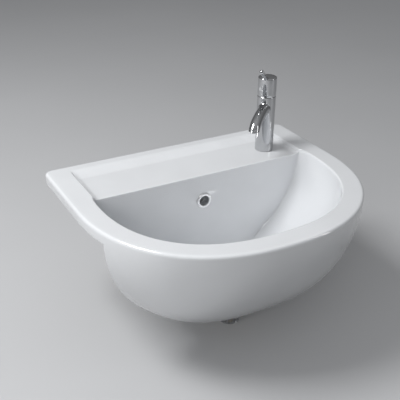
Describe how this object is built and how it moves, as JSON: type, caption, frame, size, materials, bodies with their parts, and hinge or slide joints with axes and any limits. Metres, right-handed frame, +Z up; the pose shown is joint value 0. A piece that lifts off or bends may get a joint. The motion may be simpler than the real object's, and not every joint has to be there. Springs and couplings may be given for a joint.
{
  "type": "semi recessed basin",
  "caption": "Rounded semi recessed ceramic basin for a counter's edge, with a sunk tap deck, a lever mixer tap, an overflow ring and a push plug waste.",
  "frame": {"origin": "on the counter plane under the rear rim, on the centre line, 15 mm in from the rim's back edge", "axes": "+Z up, +X to the right seen from the front, front of the bowl towards -Y"},
  "size_m": [0.55, 0.4492, 0.4584],
  "materials": {
    "basin_body": "white glaze, glossy",
    "overflow_ring": "polished chrome plate on brass",
    "waste_body": "polished chrome plate on brass",
    "waste_top_seal": "matt black rubber",
    "waste_bottom_seal": "matt black rubber",
    "waste_washer": "white plastic",
    "waste_backnut": "plain turned brass",
    "plug_cartridge": "plain turned brass",
    "plug_stem": "plain turned brass",
    "plug_cap": "polished chrome plate on brass",
    "plug_seal": "matt black rubber",
    "tap_body": "polished chrome plate on brass",
    "tap_base_seal": "matt black rubber",
    "aerator_housing": "polished chrome plate on brass",
    "aerator_insert": "pale plastic",
    "tap_cartridge": "white plastic and ceramic discs",
    "cartridge_nut": "plain turned brass",
    "tap_dome": "polished chrome plate on brass",
    "cartridge_turret": "white plastic",
    "lever_pin": "plain stainless steel",
    "lever_spindle": "plain turned brass",
    "lever_cap": "polished chrome plate on brass",
    "lever_screw": "plain stainless steel",
    "index_cap": "grey plastic",
    "tap_stud": "zinc plated steel",
    "clamp_gasket": "matt black rubber",
    "clamp_plate": "zinc plated steel",
    "stud_nut": "plain turned brass"
  },
  "bodies": {
    "basin": {"basin_body": "basin_body", "overflow_ring": "overflow_ring", "waste_body": "waste_body", "waste_top_seal": "waste_top_seal", "waste_bottom_seal": "waste_bottom_seal", "waste_washer": "waste_washer", "waste_backnut": "waste_backnut", "plug_cartridge": "plug_cartridge", "tap_body": "tap_body", "tap_base_seal": "tap_base_seal", "aerator_housing": "aerator_housing", "aerator_insert": "aerator_insert", "tap_cartridge": "tap_cartridge", "cartridge_nut": "cartridge_nut", "tap_dome": "tap_dome", "tap_stud": "tap_stud", "clamp_gasket": "clamp_gasket", "clamp_plate": "clamp_plate", "stud_nut": "stud_nut"},
    "turret": {"cartridge_turret": "cartridge_turret", "lever_pin": "lever_pin"},
    "lever": {"lever_cap": "lever_cap", "lever_spindle": "lever_spindle", "lever_screw": "lever_screw", "index_cap": "index_cap"},
    "plug": {"plug_cap": "plug_cap", "plug_seal": "plug_seal", "plug_stem": "plug_stem"}
  },
  "joints": [
    {"name": "lever_turn", "type": "hinge", "parent": "basin", "child": "turret", "pos_m": [0.1756, -0.0748, 0.13], "axis": [0, 0, 1], "range_deg": [-45, 45]},
    {"name": "lever_lift", "type": "hinge", "parent": "turret", "child": "lever", "pos_m": [0.1756, -0.0748, 0.133], "axis": [-0.682, 0.7314, 0], "range_deg": [0, 20]},
    {"name": "plug_slide", "type": "slide", "parent": "basin", "child": "plug", "axis": [0, 0, 1], "range_m": [0, 0.009]}
  ]
}
